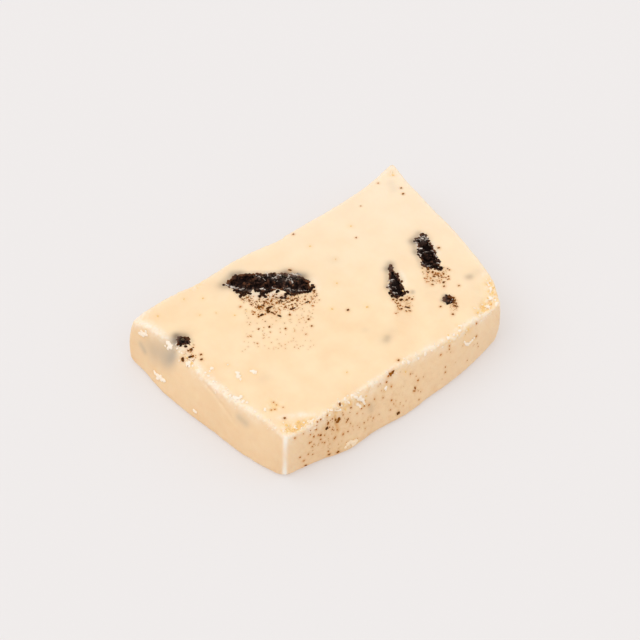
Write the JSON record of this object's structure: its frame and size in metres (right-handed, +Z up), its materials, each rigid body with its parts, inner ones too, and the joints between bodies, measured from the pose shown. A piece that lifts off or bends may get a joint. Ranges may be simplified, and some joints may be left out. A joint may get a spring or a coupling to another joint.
{
  "type": "piece of cookies and cream fudge",
  "caption": "Flat hand-cut slab of pale cream fudge with bulging feet, a slanted right side, worn rims and dark broken biscuit showing in its cut top.",
  "frame": {"origin": "on the flat underside, in the middle of the rectangle that the piece covers", "axes": "+Z up out of the cut top, +X along the front cut side towards the slanted right side, +Y towards the back"},
  "size_m": [0.0816, 0.0547, 0.0117],
  "materials": {
    "fudge": "pale cream, waxy satin, paler at the worn rims",
    "biscuit": "near-black dry crumb, matte"
  },
  "bodies": {
    "root": {"fudge_body": "fudge", "biscuit_long": "biscuit", "biscuit_right": "biscuit", "biscuit_middle": "biscuit", "biscuit_left": "biscuit", "biscuit_small": "biscuit"}
  },
  "joints": []
}
